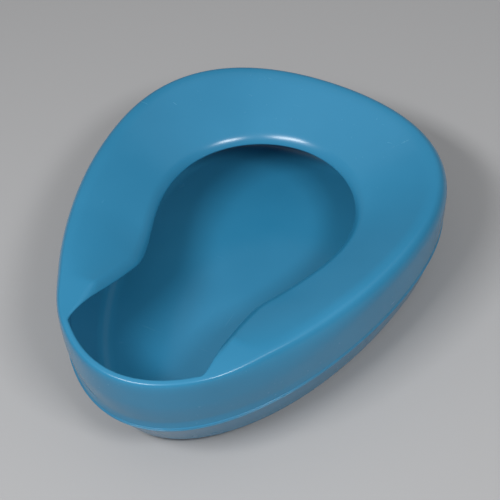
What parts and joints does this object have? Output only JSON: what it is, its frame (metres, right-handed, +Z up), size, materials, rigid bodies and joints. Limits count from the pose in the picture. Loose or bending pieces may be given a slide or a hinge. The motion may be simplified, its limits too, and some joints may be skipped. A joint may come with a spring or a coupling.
{
  "type": "bedpan",
  "caption": "Pear-shaped moulded plastic bedpan with a sloping seat, a rolled lip, an undercut bowl and a low open front, welded from a seat shell and a base pan.",
  "frame": {"origin": "middle of the footprint, on the surface that the pan rests on", "axes": "+Z up, +Y towards the wide rear end, so the low open front faces -Y; +X to the right when seen from the front"},
  "size_m": [0.3028, 0.375, 0.114],
  "materials": {
    "seat_plastic": "satin-gloss moulded polypropylene, medium blue",
    "base_plastic": "satin-gloss moulded polypropylene, medium blue"
  },
  "bodies": {
    "root": {"seat_shell": "seat_plastic", "base_pan": "base_plastic"}
  },
  "joints": []
}
